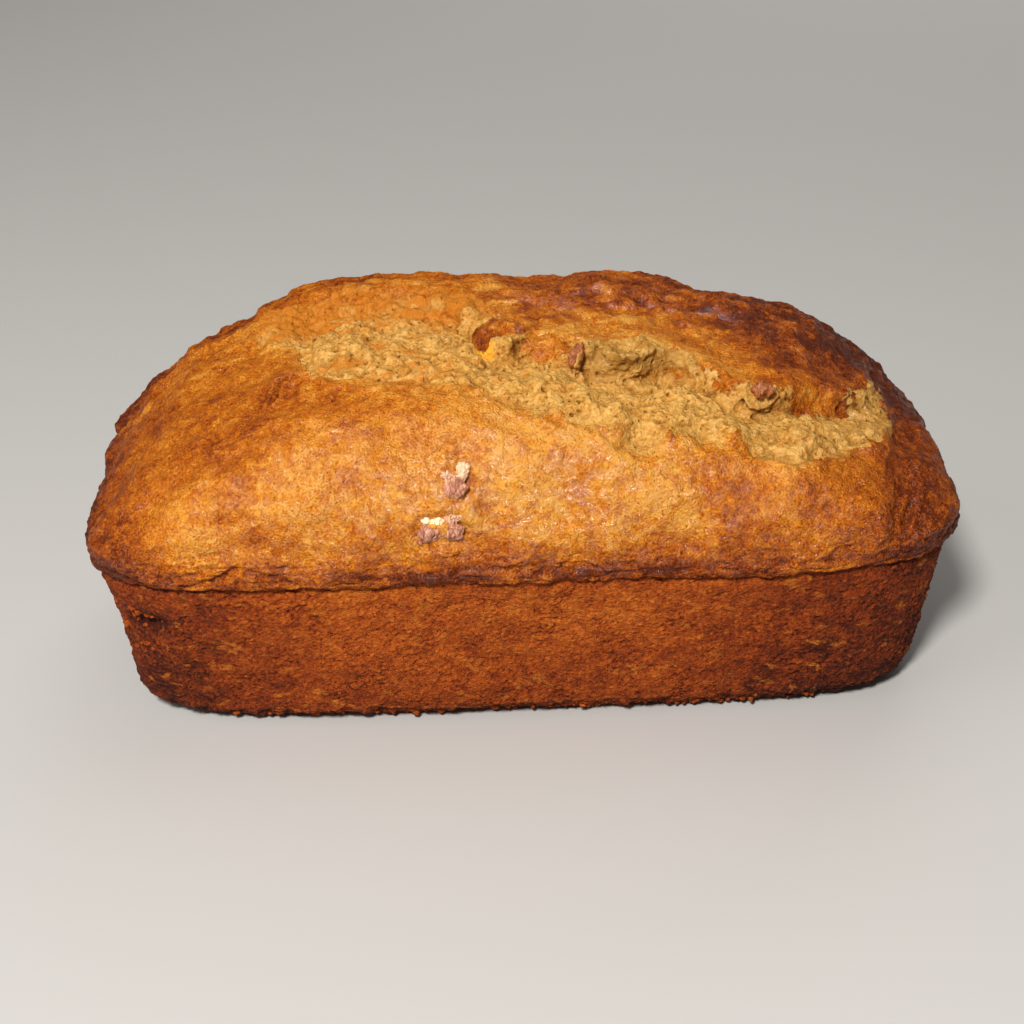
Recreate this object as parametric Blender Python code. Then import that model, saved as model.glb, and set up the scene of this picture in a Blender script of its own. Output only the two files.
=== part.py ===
"""A tin loaf: a walnut quick bread turned out of its loaf tin, with its top split open along its length.

Metres, +Z up. X runs along the loaf and -Y is the long side whose crust holds the walnuts. The origin is
on the table, under the middle of the loaf.
"""

import math

import bmesh
import bpy
from mathutils import Euler, Vector, noise

MM = 0.001

# Tin: the loaf's side is the inside of a 9 by 5 inch tin, a little shrunk
TIN_HALF_LENGTH = 111 * MM
TIN_HALF_WIDTH = 57 * MM
RIM_HEIGHT = 45.5 * MM
WALL_TAPER = 4 * MM
BASE_ROUNDING = 11 * MM
BASE_ROUNDING_STEPS = 3
WALL_STEPS = 3
RIM_CREASE_DEPTH = 0.9 * MM
RIM_CREASE_HEIGHT = 3.6 * MM
CORNER_POWER = 5.6
CORNER_EASE = 3

# Dome: the crust that rose free above the tin
LIP_OVERHANG = 3 * MM
LIP_RISE = 7.5 * MM
LIP_SECTION = ((0.8, 0.45), (0.35, 0.12))
DOME_RISE = 38.5 * MM
LEFT_END_CROWN = (3.1, 1.05)
RIGHT_END_CROWN = (2.05, 1.45)
FRONT_CROWN = (3.3, 2.8)
BACK_CROWN = (4.3, 3.7)

# Surface grid: columns along the loaf, and rows over each of its three strips
COLUMNS = 56
FRONT_ROWS = 10
CRUMB_ROWS = 9
BACK_ROWS = 13
PROFILE_STEPS = 400

# Split: where the crust tore, as (x, front edge y, back edge y) in millimetres
SPLIT_EDGES = (
    (-114, -20, 20),
    (-72, 5, 29),
    (-59, -5, 30),
    (-53, -25, 28),
    (-44, -33, 26),
    (-25, -36, 22),
    (-13, -38, 6),
    (-6, -43, -14),
    (6, -48, -8),
    (28, -54, -24),
    (40, -53, -12),
    (50, -52, -27),
    (62, -53, -31),
    (76, -50, -21),
    (92, -38, -12),
    (114, -20, 20),
)
SPLIT_LEFT = (-76 * MM, -60 * MM)
SPLIT_RIGHT = (88 * MM, 102 * MM)
SPLIT_DEEPENS = (-22 * MM, 8 * MM)
TEAR_RAGGED = (7 * MM, 2.2 * MM)
TEAR_WIDTH = 1.1 * MM
FRONT_STEP = 2.0 * MM
FURROW_DEPTHS = (3.4 * MM, 6.2 * MM)
FURROW_SLOPE = (0.25, 0.95)
CRUMB_SWELL = 1.8 * MM
CRUMB_SWELL_WIDTH = 0.7
FRONT_CURL = 0.8 * MM
FRONT_CURL_REACH = 5 * MM
BACK_CURLS = (0.9 * MM, 2.4 * MM)
BACK_CURL_REACH = 14 * MM

# Folds: creases in the crust, each as its plan route in millimetres, its depth and its half width
FOLDS = (
    (((99, 14), (103, -4), (101, -22), (97, -42), (93, -57)), 2.4 * MM, 3.2 * MM),
    (((2, 14), (22, 10), (40, 17), (62, 12), (84, 16)), 1.8 * MM, 3.6 * MM),
    (((-62, 34), (-40, 38), (-12, 33), (14, 37)), 1.5 * MM, 4.0 * MM),
)
FOLD_BANK_PLACE = 1.8
FOLD_BANK_HEIGHT = 0.45

# Swells: where the dough rose most, as the middle and the half sizes in plan, and the height
SWELLS = (
    ((-36 * MM, 32 * MM), (38 * MM, 15 * MM), 3.2 * MM),
    ((32 * MM, 30 * MM), (19 * MM, 18 * MM), 4.4 * MM),
    ((76 * MM, 18 * MM), (15 * MM, 22 * MM), 3.4 * MM),
    ((-3 * MM, -50 * MM), (34 * MM, 14 * MM), 0.8 * MM),
)

# Unevenness of the baked dough, as (size of a lump, height)
BROAD_LUMPS = (34 * MM, 1.5 * MM)
SMALL_LUMPS = (13 * MM, 1.0 * MM)
CRUMB_LUMPS = (8 * MM, 2.4 * MM)
FLAT_BASE_REACH = 12 * MM

# Hollow in the tin side, low on the left front corner
HOLLOW_PLACE = (-102 * MM, -38 * MM, 27 * MM)
HOLLOW_RADII = (9 * MM, 12 * MM, 4 * MM)
HOLLOW_DEPTH = 5 * MM

# Walnuts: name, place, half sizes, turn in degrees
WALNUTS = (
    ("walnut_low", (-21.5, -59.4, 62.0), (6.0, 2.6, 4.0), (-4, 6, 3)),
    ("walnut_high", (-17.4, -57.0, 73.6), (3.7, 2.4, 4.6), (-22, 12, -4)),
    ("walnut_split", (14.2, -20.8, 90.2), (2.6, 3.4, 3.6), (24, 28, 10)),
    ("walnut_crumb", (60.6, -31.2, 84.0), (3.1, 2.6, 2.2), (20, 0, 0)),
)
WALNUT_GAP = 0.3 * MM
WALNUT_LUMPS = (3.2 * MM, 0.9 * MM)

CRUST_COLOUR = (0.62, 0.27, 0.065, 1.0)
WALNUT_COLOUR = (0.40, 0.20, 0.13, 1.0)


def clear_scene():
    for obj in list(bpy.data.objects):
        bpy.data.objects.remove(obj)


def make_material(name, colour, roughness):
    material = bpy.data.materials.new(name)
    material.use_nodes = True
    shader = material.node_tree.nodes["Principled BSDF"]
    shader.inputs["Base Color"].default_value = colour
    shader.inputs["Roughness"].default_value = roughness
    shader.inputs["Metallic"].default_value = 0.0
    return material


def ramp(value, start, end):
    """0 before start, 1 after end, and smooth between them."""
    share = min(1.0, max(0.0, (value - start) / (end - start)))
    return share * share * (3 - 2 * share)


def curve_through(points, x):
    """The value at x of a smooth curve through the points, each a pair (x, value) in rising order of x."""
    last = len(points) - 1
    i = 0
    while i < last - 1 and x > points[i + 1][0]:
        i += 1

    def slope(k):
        before, after = points[max(k - 1, 0)], points[min(k + 1, last)]
        return (after[1] - before[1]) / (after[0] - before[0])

    width = points[i + 1][0] - points[i][0]
    t = min(1.0, max(0.0, (x - points[i][0]) / width))
    start = (2 * t**3 - 3 * t**2 + 1) * points[i][1] + (t**3 - 2 * t**2 + t) * width * slope(i)
    end = (3 * t**2 - 2 * t**3) * points[i + 1][1] + (t**3 - t**2) * width * slope(i + 1)
    return start + end


def plan_point(u, v, half_length, half_width):
    """The point (u, v) of a square, each from -1 to 1, in the loaf's plan with its round corners."""
    reach = max(abs(u), abs(v), 1e-9)
    corner = (abs(u / reach) ** CORNER_POWER + abs(v / reach) ** CORNER_POWER) ** (-1 / CORNER_POWER)
    pull = 1 - reach**CORNER_EASE * (1 - corner)
    return half_length * u * pull, half_width * v * pull


def crown(share, powers):
    """The dome's height at this share of the way from its middle to its edge, as a share of its rise."""
    fullness, roundness = powers
    return max(0.0, 1 - abs(share) ** fullness) ** (1 / roundness)


def length_crown(u):
    return crown(u, LEFT_END_CROWN if u < 0 else RIGHT_END_CROWN)


def width_crown(v):
    return crown(v, FRONT_CROWN if v < 0 else BACK_CROWN)


class Profile:
    """A section of the dome, which turns a share from -1 to 1 into a length along the crust and back."""

    def __init__(self, half_size, rise, crown_at):
        self.shares = [math.sin(math.pi * (i / PROFILE_STEPS - 0.5)) for i in range(PROFILE_STEPS + 1)]
        points = [Vector((half_size * share, rise * crown_at(share))) for share in self.shares]
        self.lengths = [0.0]
        for before, after in zip(points, points[1:]):
            self.lengths.append(self.lengths[-1] + (after - before).length)

    @property
    def total(self):
        return self.lengths[-1]

    def length_at(self, share):
        return interpolate(share, self.shares, self.lengths)

    def share_at(self, length):
        return interpolate(length, self.lengths, self.shares)


def interpolate(x, xs, ys):
    low, high = 0, len(xs) - 1
    while high - low > 1:
        middle = (low + high) // 2
        if xs[middle] <= x:
            low = middle
        else:
            high = middle
    t = min(1.0, max(0.0, (x - xs[low]) / (xs[high] - xs[low])))
    return ys[low] + t * (ys[high] - ys[low])


def split_edge(x, which):
    """The plan y of the split's ragged front edge (which is 1) or back edge (2) at x."""
    smooth = curve_through([(p[0] * MM, p[which] * MM) for p in SPLIT_EDGES], x)
    return smooth + lumps((x, 0, 0), TEAR_RAGGED, 20 * which)


def split_opening(x):
    """How far the split is open at x, from 0 to 1."""
    return ramp(x, *SPLIT_LEFT) * (1 - ramp(x, *SPLIT_RIGHT))


def row_lengths(front_edge, back_edge, total):
    """Lengths across the dome, from the front lip to the back one, at which the rows lie."""
    front = [front_edge * k / FRONT_ROWS for k in range(FRONT_ROWS + 1)]
    start, end = front_edge + TEAR_WIDTH, back_edge - TEAR_WIDTH
    crumb = [start + (end - start) * k / CRUMB_ROWS for k in range(CRUMB_ROWS + 1)]
    back = [back_edge + (total - back_edge) * k / BACK_ROWS for k in range(BACK_ROWS + 1)]
    return front + crumb + back


def distance_to_route(x, y, route):
    """The distance in plan from (x, y) to a route of points in millimetres."""
    here = Vector((x, y))
    nearest = math.inf
    for start, end in zip(route, route[1:]):
        a, b = Vector(start) * MM, Vector(end) * MM
        share = min(1.0, max(0.0, (here - a).dot(b - a) / (b - a).length_squared))
        nearest = min(nearest, (here - a.lerp(b, share)).length)
    return nearest


def lumps(place, size_and_height, seed):
    size, height = size_and_height
    return height * noise.noise(Vector(place) / size + Vector((seed, seed, seed)))


def between(ends, share):
    return ends[0] + (ends[1] - ends[0]) * share


def crumb_bed(share, deepening):
    """The crumb's level at this share of the way from the front torn edge to the back one."""
    furrow = between(FURROW_DEPTHS, deepening) * ramp(share, *FURROW_SLOPE)
    swell = CRUMB_SWELL * math.sin(math.pi * min(1.0, share / CRUMB_SWELL_WIDTH))
    return swell - FRONT_STEP * (1 - share) - furrow


def fold(away):
    """The section across a fold: a groove with a raised bank beside it, at this many half widths away."""
    return FOLD_BANK_HEIGHT * math.exp(-((away - FOLD_BANK_PLACE) ** 2)) - math.exp(-(away**2))


def crust_relief(place, from_front, from_back):
    """How far the surface stands out at a place, given its lengths inside the split's two edges."""
    x, y, _ = place
    opening = split_opening(x)
    deepening = ramp(x, *SPLIT_DEEPENS)
    if from_front <= 0:
        relief = opening * FRONT_CURL * math.exp(from_front / FRONT_CURL_REACH)
    elif from_back <= 0:
        relief = opening * between(BACK_CURLS, deepening) * math.exp(from_back / BACK_CURL_REACH)
    else:
        relief = opening * crumb_bed(from_front / (from_front + from_back), deepening)
        relief += opening * lumps(place, CRUMB_LUMPS, 5)
    for route, depth, half_width in FOLDS:
        relief += depth * fold(distance_to_route(x, y, route) / half_width)
    for middle, half_sizes, height in SWELLS:
        relief += height * bump((x, y), middle, half_sizes)
    return relief


def bump(place, middle, half_sizes):
    """1 at the middle, falling smoothly towards 0 over the half sizes."""
    return math.exp(-sum(((p - q) / r) ** 2 for p, q, r in zip(place, middle, half_sizes)))


def add_dome(mesh, u_layer, v_layer, relief_layer):
    """Lays a grid over the tin's top and lifts it into the dome. The rows follow the split's torn edges."""
    half_length, half_width = TIN_HALF_LENGTH + LIP_OVERHANG, TIN_HALF_WIDTH + LIP_OVERHANG
    along = Profile(half_length, DOME_RISE, length_crown)
    rows = FRONT_ROWS + CRUMB_ROWS + BACK_ROWS + 2
    bmesh.ops.create_grid(mesh, x_segments=COLUMNS, y_segments=rows, size=1.0)
    columns = []
    for i in range(COLUMNS + 1):
        u = along.share_at(along.total * i / COLUMNS)
        across = Profile(half_width, DOME_RISE * length_crown(u), width_crown)
        edges = [across.length_at(split_edge(half_length * u, which) / half_width) for which in (1, 2)]
        columns.append((u, across, edges))
    for vert in mesh.verts:
        u, across, (front_edge, back_edge) = columns[round((vert.co.x + 1) / 2 * COLUMNS)]
        length = row_lengths(front_edge, back_edge, across.total)[round((vert.co.y + 1) / 2 * rows)]
        v = across.share_at(length)
        x, y = plan_point(u, v, half_length, half_width)
        z = RIM_HEIGHT + LIP_RISE + DOME_RISE * length_crown(u) * width_crown(v)
        vert[u_layer], vert[v_layer] = u, v
        vert[relief_layer] = crust_relief((x, y, z), length - front_edge, back_edge - length)
        vert.co = (x, y, z)


def side_rings():
    """Rings from the lip down to the base: each one's offset out from the tin's rim, and its height."""
    rings = [(out * LIP_OVERHANG, RIM_HEIGHT + up * LIP_RISE) for out, up in LIP_SECTION]
    rings.append((-RIM_CREASE_DEPTH, RIM_HEIGHT - RIM_CREASE_DEPTH))
    for k in range(WALL_STEPS + 1):
        drop = k / WALL_STEPS
        rings.append((-WALL_TAPER * drop, between((RIM_HEIGHT - RIM_CREASE_HEIGHT, BASE_ROUNDING), drop)))
    for k in range(1, BASE_ROUNDING_STEPS + 1):
        angle = math.pi / 2 * k / BASE_ROUNDING_STEPS
        inset = BASE_ROUNDING * (1 - math.cos(angle))
        rings.append((-WALL_TAPER - inset, BASE_ROUNDING * (1 - math.sin(angle))))
    return rings


def add_side(mesh, u_layer, v_layer, relief_layer):
    """Extrudes the dome's border down the tin's wall, ring by ring, and closes the base."""
    border = [edge for edge in mesh.edges if edge.is_boundary]
    for offset, height in side_rings():
        made = bmesh.ops.extrude_edge_only(mesh, edges=border)["geom"]
        for vert in (item for item in made if isinstance(item, bmesh.types.BMVert)):
            x, y = plan_point(vert[u_layer], vert[v_layer], TIN_HALF_LENGTH + offset, TIN_HALF_WIDTH + offset)
            vert[relief_layer] = 0.0
            vert.co = (x, y, height)
        border = [item for item in made if isinstance(item, bmesh.types.BMEdge)]
    bmesh.ops.edgeloop_fill(mesh, edges=border)


def outward(place):
    """The direction out of the loaf at a place on its surface, smooth all over."""
    x, y, z = place
    up = max(0.0, z - RIM_HEIGHT) / DOME_RISE**2
    return Vector((x / TIN_HALF_LENGTH**2, y / TIN_HALF_WIDTH**2, up)).normalized()


def shape_surface(mesh, relief_layer):
    """Moves every point in or out by its relief and by the unevenness of baked dough. The base stays flat."""
    for vert in mesh.verts:
        off_base = ramp(vert.co.z, 0.0, FLAT_BASE_REACH)
        uneven = lumps(vert.co, BROAD_LUMPS, 0) + lumps(vert.co, SMALL_LUMPS, 9)
        uneven -= HOLLOW_DEPTH * bump(vert.co, HOLLOW_PLACE, HOLLOW_RADII)
        vert.co += outward(vert.co) * (vert[relief_layer] + off_base * uneven)
    bmesh.ops.recalc_face_normals(mesh, faces=mesh.faces)


def to_object(mesh, name, material, parent):
    data = bpy.data.meshes.new(name)
    mesh.to_mesh(data)
    mesh.free()
    data.materials.append(material)
    data.shade_smooth()
    obj = bpy.data.objects.new(name, data)
    obj.parent = parent
    bpy.context.scene.collection.objects.link(obj)
    return obj


def make_loaf(material, parent):
    mesh = bmesh.new()
    layers = [mesh.verts.layers.float.new(name) for name in ("u", "v", "relief")]
    add_dome(mesh, *layers)
    add_side(mesh, *layers)
    shape_surface(mesh, layers[2])
    return to_object(mesh, "loaf", material, parent)


def walnut_mesh(half_sizes, grown):
    """A knobbly piece of walnut about the origin. Grown adds that much all round."""
    mesh = bmesh.new()
    bmesh.ops.create_icosphere(mesh, subdivisions=3, radius=1.0)
    for vert in mesh.verts:
        place = Vector(size * MM * c for size, c in zip(half_sizes, vert.co))
        vert.co = place + vert.co * (lumps(place, WALNUT_LUMPS, half_sizes[0]) + grown)
    return mesh


def make_walnuts(loaf, material, parent):
    """Sets each walnut in a pocket of its own form, cut from the loaf with a small gap all round."""
    for name, place, half_sizes, turn in WALNUTS:
        walnut = to_object(walnut_mesh(half_sizes, 0.0), name, material, parent)
        pocket = to_object(walnut_mesh(half_sizes, WALNUT_GAP), name + "_pocket", material, parent)
        pocket.hide_render = True
        pocket.display_type = "WIRE"
        for obj in (walnut, pocket):
            obj.location = Vector(place) * MM
            obj.rotation_euler = Euler([math.radians(angle) for angle in turn])
        cut = loaf.modifiers.new(name + "_pocket", "BOOLEAN")
        cut.operation = "DIFFERENCE"
        cut.object = pocket


def centre_on_base(root):
    """Moves the loaf so that the origin is at the middle of its box, on the base."""
    bpy.context.view_layer.update()
    graph = bpy.context.evaluated_depsgraph_get()
    corners = []
    for obj in root.children:
        if not obj.hide_render:
            shown = obj.evaluated_get(graph)
            corners += [shown.matrix_world @ vert.co for vert in shown.data.vertices]
    low = [min(corner[axis] for corner in corners) for axis in range(3)]
    high = [max(corner[axis] for corner in corners) for axis in range(3)]
    root.location = (-(low[0] + high[0]) / 2, -(low[1] + high[1]) / 2, -low[2])


def main():
    clear_scene()
    root = bpy.data.objects.new("loaf_root", None)
    bpy.context.scene.collection.objects.link(root)
    loaf = make_loaf(make_material("baked_crust", CRUST_COLOUR, 0.5), root)
    make_walnuts(loaf, make_material("walnut", WALNUT_COLOUR, 0.6), root)
    centre_on_base(root)


main()
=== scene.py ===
"""Looks of a walnut tin loaf: a torn golden crust over moist crumb, coarse tin sides and baked-in walnuts.

Metres, +Z up. X runs along the loaf and -Y is the long side that faces the camera.
"""
import itertools
import math

import bpy
import numpy as np
from mathutils import Matrix, Vector, noise


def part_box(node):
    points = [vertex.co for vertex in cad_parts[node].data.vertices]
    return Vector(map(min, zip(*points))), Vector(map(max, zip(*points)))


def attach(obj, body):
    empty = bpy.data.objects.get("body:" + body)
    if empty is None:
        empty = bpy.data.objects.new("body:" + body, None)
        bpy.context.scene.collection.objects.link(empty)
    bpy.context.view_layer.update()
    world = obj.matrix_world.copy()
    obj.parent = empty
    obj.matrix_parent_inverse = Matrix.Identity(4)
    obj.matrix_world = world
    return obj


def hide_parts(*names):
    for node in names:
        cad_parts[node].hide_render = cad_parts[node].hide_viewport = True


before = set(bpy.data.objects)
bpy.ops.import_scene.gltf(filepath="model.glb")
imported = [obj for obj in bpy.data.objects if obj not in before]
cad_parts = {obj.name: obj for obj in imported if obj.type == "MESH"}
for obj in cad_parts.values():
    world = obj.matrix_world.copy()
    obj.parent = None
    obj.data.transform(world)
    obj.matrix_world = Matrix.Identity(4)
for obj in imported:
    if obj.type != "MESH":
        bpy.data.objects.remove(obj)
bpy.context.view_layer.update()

MM = 0.001
WALNUTS = ("walnut_low", "walnut_high", "walnut_split", "walnut_crumb")
loaf_low, loaf_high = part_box("loaf")

# Form of the loaf, as its solid was made
LIP_HALF_LENGTH = 114 * MM
LIP_HALF_WIDTH = 60 * MM
RIM = 45.5
RIM_HEIGHT = RIM * MM
CORNER_POWER = 5.6
CORNER_EASE = 3
SPLIT_EDGES = (
    (-114, -20, 20),
    (-72, 5, 29),
    (-59, -5, 30),
    (-53, -25, 28),
    (-44, -33, 26),
    (-25, -36, 22),
    (-13, -38, 6),
    (-6, -43, -14),
    (6, -48, -8),
    (28, -54, -24),
    (40, -53, -12),
    (50, -52, -27),
    (62, -53, -31),
    (76, -50, -21),
    (92, -38, -12),
    (114, -20, 20),
)
TEAR_RAGGED = (7 * MM, 2.2 * MM)
SPLIT_LEFT = (-76, -60)
SPLIT_RIGHT = (88, 102)
SPLIT_STEPS = 900

# Plan points in mm where the front crust gives way to crumb
FRONT_TEAR = (
    (-90, 30),
    (-79, 24),
    (-71, 8),
    (-60, 1),
    (-56.5, -11),
    (-54.5, -22),
    (-46, -27),
    (-39, -26.5),
    (-26, -29.5),
    (-14, -32.5),
    (-9, -36),
    (-2, -43),
    (10, -47),
    (19, -49),
    (30, -51),
    (35, -48.5),
    (46, -48),
    (52, -46.5),
    (59, -52.5),
    (68, -52.5),
    (76, -47),
    (84, -42),
    (90, -34),
    (100, -13),
    (104, 5),
)

# Plan points in mm where the crumb gives way to the back crust
BACK_TEAR = (
    (-90, 31),
    (-76, 31),
    (-56, 28),
    (-48, 29),
    (-39, 28),
    (-26, 26),
    (-12, 21),
    (-6, 8),
    (-2, -5),
    (3, -9.5),
    (8, -10),
    (14, -12),
    (24, -11),
    (32, -10),
    (39, -12),
    (44, -16),
    (49, -24),
    (52, -28),
    (58.6, -28.5),
    (66, -27),
    (80, -20),
    (86, -16),
    (95, -1),
    (104, 8),
)

# How sharp the torn edges are along the loaf, as (x in mm, sharpness)
FRONT_SHARPNESS = (
    (-76, 0.2), (-57, 0.2), (-50, 0.8), (-40, 0.75), (-12, 0.6), (-2, 0.45), (30, 0.25), (90, 0.25),
)
BACK_SHARPNESS = (
    (-20, 0.0), (-10, 0.6), (0, 0.8), (12, 0.5), (30, 0.6), (44, 0.8), (60, 0.9), (90, 1.0),
)

# Spots in mm that both the form and the colour use
DARK_HOLE = (0, -10.5, 91)
RED_NUB = (35.2, -48.8, 82)
CORNER_PIT = (-97.5, -49.4, 32.2)

# Dents (minus) and bumps (plus) in the top and side, as (middle, radii, height) in mm
SPOTS = (
    (DARK_HOLE, (3.4, 2.6, 3.0), -3.4),
    ((-12, -22, 89.5), (2.6, 2.0, 2.5), -2.4),
    ((-4.3, 7.3, 93), (1.5, 1.3, 2.5), -2.0),
    ((-33, 9.5, 88), (4.5, 2.4, 3), -1.8),
    ((-24, -13, 92), (3.2, 2.6, 3), -1.6),
    ((-18.7, -10.5, 91.5), (2.2, 3.0, 3), -1.4),
    ((-47, 3, 87.5), (3.0, 4.0, 3), -1.8),
    ((8.3, -9.5, 92), (1.3, 1.3, 1.6), -2.2),
    ((13.3, -8.8, 93), (1.1, 1.1, 1.6), -1.8),
    ((24.4, -24, 87), (5.0, 3.0, 4), -2.2),
    ((37, -19, 86.5), (9.5, 4.5, 5), -2.0),
    ((48.6, -27, 86), (0.9, 4.0, 4), -2.4),
    ((-9, -36.4, 87.3), (2.4, 0.9, 2.5), -2.2),
    ((84.8, -18, 74), (2.4, 1.6, 3), -2.0),
    ((69.6, -24.5, 74), (3.4, 1.8, 3), -1.8),
    ((-78, -57.8, 56), (4.0, 4, 0.8), -1.3),
    (CORNER_PIT, (5.0, 5.0, 3.0), -3.2),
    ((-9.2, -11, 88), (3.0, 2.6, 2.6), 3.0),
    ((60.5, -31, 82), (6, 5, 4), 2.8),
    ((14, -20, 87), (4, 4, 3), 1.5),
    ((28.9, -47.2, 81.5), (4.5, 3.5, 4.0), -1.5),
    ((39, -13, 86), (7, 3.5, 3.2), 1.6),
    ((30, -10, 90), (4, 3, 3), 1.2),
    ((32, -13, 90), (3.0, 5.0, 3), 1.4),
    ((-36, 36, 88), (26, 12, 12), 1.4),
    ((-66, 30, 82), (14, 14, 12), 1.6),
    ((-86, 12, 72), (20, 24, 14), 2.2),
    ((82, 16, 82), (26, 18, 14), 3.4),
    ((50, 22, 90), (18, 12, 8), 1.4),
    (RED_NUB, (2.0, 1.8, 3.6), 1.0),
    ((51, -46.5, 80.5), (2.2, 2.2, 3.0), 1.6),
    ((87, -38, 71), (4.0, 3.0, 4.0), 1.6),
    ((24, -45, 84), (3.0, 3.0, 3.0), 1.5),
    ((-66, 12, 84), (5.0, 7.0, 4.0), 1.6),
    ((-62, 27, 86), (5.0, 6.0, 4.0), 1.8),
)

# Creases, as (route of plan or side points in mm, half width, depth)
CREASES = (
    (((-54.5, -21.5, 88), (-61.5, -20.8, 86), (-63.5, -27.5, 84.5)), 0.8, 2.2),
    (((-56, -11, 86.5), (-57, 4, 87), (-55.6, 22, 86)), 3.0, 1.0),
    (((-55.6, 22, 85.6), (-48.4, 25, 90), (-36, 26, 92)), 1.2, 1.0),
    (((14, 20, 93), (30, 20, 91), (40.6, 12, 89.5), (52, 14, 87.5), (62, 12, 85)), 1.5, 1.7),
    (((40.6, 11, 89), (43, 3, 88), (47, -9, 86.4)), 1.2, 1.2),
    (((-4, 22, 93.5), (8, 14, 92.5), (22, 9, 91)), 1.3, 1.3),
    (((103, -4, 65), (104, -14, 63), (101, -30, 62), (98, -43.5, 61), (94, -54, 56)), 0.9, 1.4),
    (
        ((-86, -56.5, 47.5), (-79, -57.4, 49), (-72, -58, 52.4), (-66, -58.3, 51), (-58, -58.5, 48.4)),
        0.8, 1.1,
    ),
)

# Middle line of the dark tongue of crust that lies over the crumb, in mm
TONGUE = ((-11.5, -8, 91), (-8.5, -5, 91.5), (-4, -2.5, 92.5), (2, -2, 92.7), (9, 2, 92))

# Heights in mm of the coarse relief
CRUST_SWELL, CRUST_RIPPLE = 1.2, 0.5
RIM_SWELL = 0.8
FRONT_CURL, BACK_CURL = 0.9, 1.5
CRUMB_CLODS, CRUMB_RIPPLE, LEFT_CRUMB_CLODS = 1.7, 0.7, 0.8
BACK_CLODS, BACK_RIPPLE = 1.2, 0.5
TONGUE_RISE = 1.0
STEP_FILL = 2.0
SEAT_BRIM, SEAT_DENT = 0.7, 2.6

# Heights in mm of the fine relief
CRUST_GRAIN, CRUST_PORES = 0.34, 0.22
RIM_WRINKLES, RIM_CRACKS = 0.45, 0.45
CRUMB_GRAIN, CRUMB_FUZZ, CRUMB_HOLES = 0.34, 0.28, 1.1
SIDE_GRAIN, SIDE_CLODS, SIDE_CRACKS = 0.40, 0.34, 0.42
FOOT_LUMPS = 0.8

# Grain of the meshes
COARSE_VOXEL = 1.0 * MM
FINE_VOXEL = 0.46 * MM
CORE = Vector((0, 0, 40 * MM))
NUT_VOXEL = 0.2 * MM

# Camera, set to the photograph's view
CAMERA_PLACE = (-18.2 * MM, -461.0 * MM, 274.7 * MM)
CAMERA_LENS = 65.8
CAMERA_RISE = math.radians(27.42)
CAMERA_TURN = math.radians(-1.98)
CAMERA_ROLL = math.radians(-0.97)

# Stage and lights, as (name, place, size, power, colour, whether it shows in the glaze)
FLOOR_SIZE = 6
FLOOR_DROP = 0.4 * MM
FLOOR_COLOUR = (0.50, 0.49, 0.475)
ROOM_COLOUR = (1.0, 0.97, 0.93)
ROOM_STRENGTH = 0.11
LIGHT_AIM = (-0.02, 0, 0.05)
LIGHTS = (
    ("key", (-0.22, -0.78, 0.80), 0.18, 15.5, (1.0, 0.97, 0.93), True),
    ("fill", (-1.3, -0.5, 0.9), 1.2, 6, (1.0, 0.97, 0.94), False),
    ("top", (0.1, 0.6, 1.7), 1.4, 4, (1.0, 0.98, 0.95), False),
    ("back", (0.5, 1.4, 0.7), 1.2, 7, (1.0, 0.98, 0.95), False),
)


# Mesh tools

def only(*objects):
    """Selects these objects and nothing else. The last one is active."""
    bpy.ops.object.select_all(action="DESELECT")
    for obj in objects:
        obj.select_set(True)
    bpy.context.view_layer.objects.active = objects[-1]


def edit(obj, *steps):
    """Runs edit mode steps on a piece with all of it selected."""
    only(obj)
    bpy.ops.object.mode_set(mode="EDIT")
    bpy.ops.mesh.select_all(action="SELECT")
    for step in steps:
        step()
    bpy.ops.object.mode_set(mode="OBJECT")


def modify(obj, kind, **values):
    """Adds a modifier to a piece and applies it."""
    only(obj)
    modifier = obj.modifiers.new(kind.lower(), kind)
    for name, value in values.items():
        setattr(modifier, name, value)
    bpy.ops.object.modifier_apply(modifier=modifier.name)


def points(obj):
    found = np.empty(len(obj.data.vertices) * 3, np.float32)
    obj.data.vertices.foreach_get("co", found)
    return found.reshape(-1, 3).astype(float)


def normals(obj):
    found = np.empty(len(obj.data.vertices) * 3, np.float32)
    obj.data.vertices.foreach_get("normal", found)
    return found.reshape(-1, 3).astype(float)


def set_points(obj, places):
    obj.data.vertices.foreach_set("co", places.astype(np.float32).ravel())
    obj.data.update()


def push(obj, heights, ways=None):
    """Moves each point of a piece by its own height in mm, outwards or along the ways given."""
    ways = normals(obj) if ways is None else ways
    set_points(obj, points(obj) + ways * (heights * MM)[:, None])


def ramp(value, start, end):
    share = np.clip((value - start) / (end - start), 0.0, 1.0)
    return share * share * (3 - 2 * share)


def bump(places, middle, radii):
    """1 at the middle, falling smoothly towards 0 over the radii.

    Places are points, or values of one axis.
    """
    away = ((places - np.array(middle)) / np.array(radii)) ** 2
    return np.exp(-(away if away.ndim == 1 else away.sum(axis=1)))


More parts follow.
